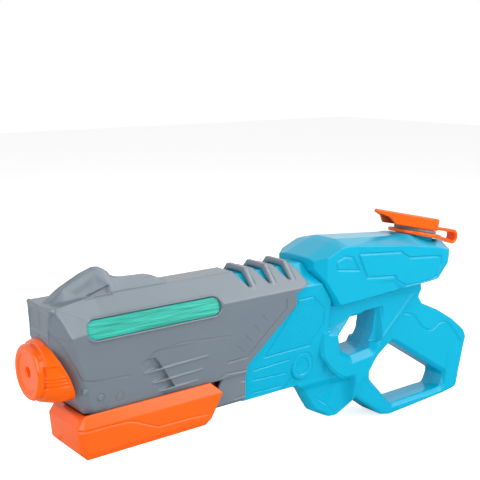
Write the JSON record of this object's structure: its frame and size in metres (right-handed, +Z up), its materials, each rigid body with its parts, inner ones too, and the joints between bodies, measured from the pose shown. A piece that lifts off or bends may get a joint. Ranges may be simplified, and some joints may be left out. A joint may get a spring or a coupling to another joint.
{
  "type": "water squirter",
  "caption": "Hand-pumped toy water squirter with a sliding fore-end pump, a tank with a flip cap on top, a trigger guard and a thumbhole stock.",
  "frame": {"origin": "under the middle of the toy's box, at the height of the stock's lowest point", "axes": "+X from the nozzle towards the butt, +Y towards the toy's right side, +Z up"},
  "size_m": [0.3997, 0.0518, 0.1686],
  "materials": {
    "grey_plastic": "satin moulded",
    "blue_plastic": "semi-gloss moulded",
    "orange_plastic": "semi-gloss moulded",
    "teal_plastic": "finely ribbed, moulded",
    "clear_plastic": "milky extruded",
    "black_rubber": "matt",
    "steel": "bright"
  },
  "bodies": {
    "body": {"shroud_left": "grey_plastic", "shroud_right": "grey_plastic", "inlay_left": "teal_plastic", "inlay_right": "teal_plastic", "frame_left": "blue_plastic", "frame_right": "blue_plastic", "water_tank": "blue_plastic", "nozzle_cap": "orange_plastic", "nozzle_seal": "black_rubber", "outlet_tube": "clear_plastic", "pump_cylinder": "clear_plastic", "cylinder_gland": "grey_plastic", "valve_block": "grey_plastic", "outlet_spring": "steel", "outlet_elbow": "grey_plastic", "inlet_fitting": "grey_plastic", "suction_hose": "clear_plastic", "hose_grommet": "black_rubber", "suction_filter": "grey_plastic", "tether_ring": "orange_plastic", "cap_gasket": "grey_plastic", "tether_lower": "orange_plastic", "shroud_screw_1": "steel", "shroud_screw_2": "steel", "shroud_screw_3": "steel", "frame_screw_1": "steel", "frame_screw_2": "steel", "frame_screw_3": "steel", "frame_screw_4": "steel"},
    "pump": {"pump_handle": "orange_plastic", "piston_rod": "steel", "piston": "grey_plastic", "piston_seal": "black_rubber", "rod_pin": "steel"},
    "cap": {"filler_cap": "orange_plastic", "tether_upper": "orange_plastic"},
    "inlet_valve": {"inlet_ball": "steel"},
    "outlet_valve": {"outlet_ball": "steel"}
  },
  "joints": [
    {"name": "pump_slide", "type": "slide", "parent": "body", "child": "pump", "axis": [-1, 0, 0], "range_m": [0, 0.062]},
    {"name": "cap_hinge", "type": "hinge", "parent": "body", "child": "cap", "pos_m": [0.1905, 0, 0.1366], "axis": [0, 1, 0], "range_deg": [0, 115]},
    {"name": "inlet_lift", "type": "slide", "parent": "body", "child": "inlet_valve", "axis": [-1, 0, 0], "range_m": [0, 0.0015]},
    {"name": "outlet_lift", "type": "slide", "parent": "body", "child": "outlet_valve", "axis": [0, 0, 1], "range_m": [0, 0.0015], "stiffness_N_per_m": 40, "springref_m": -0.002, "deforming": ["outlet_spring"]}
  ]
}
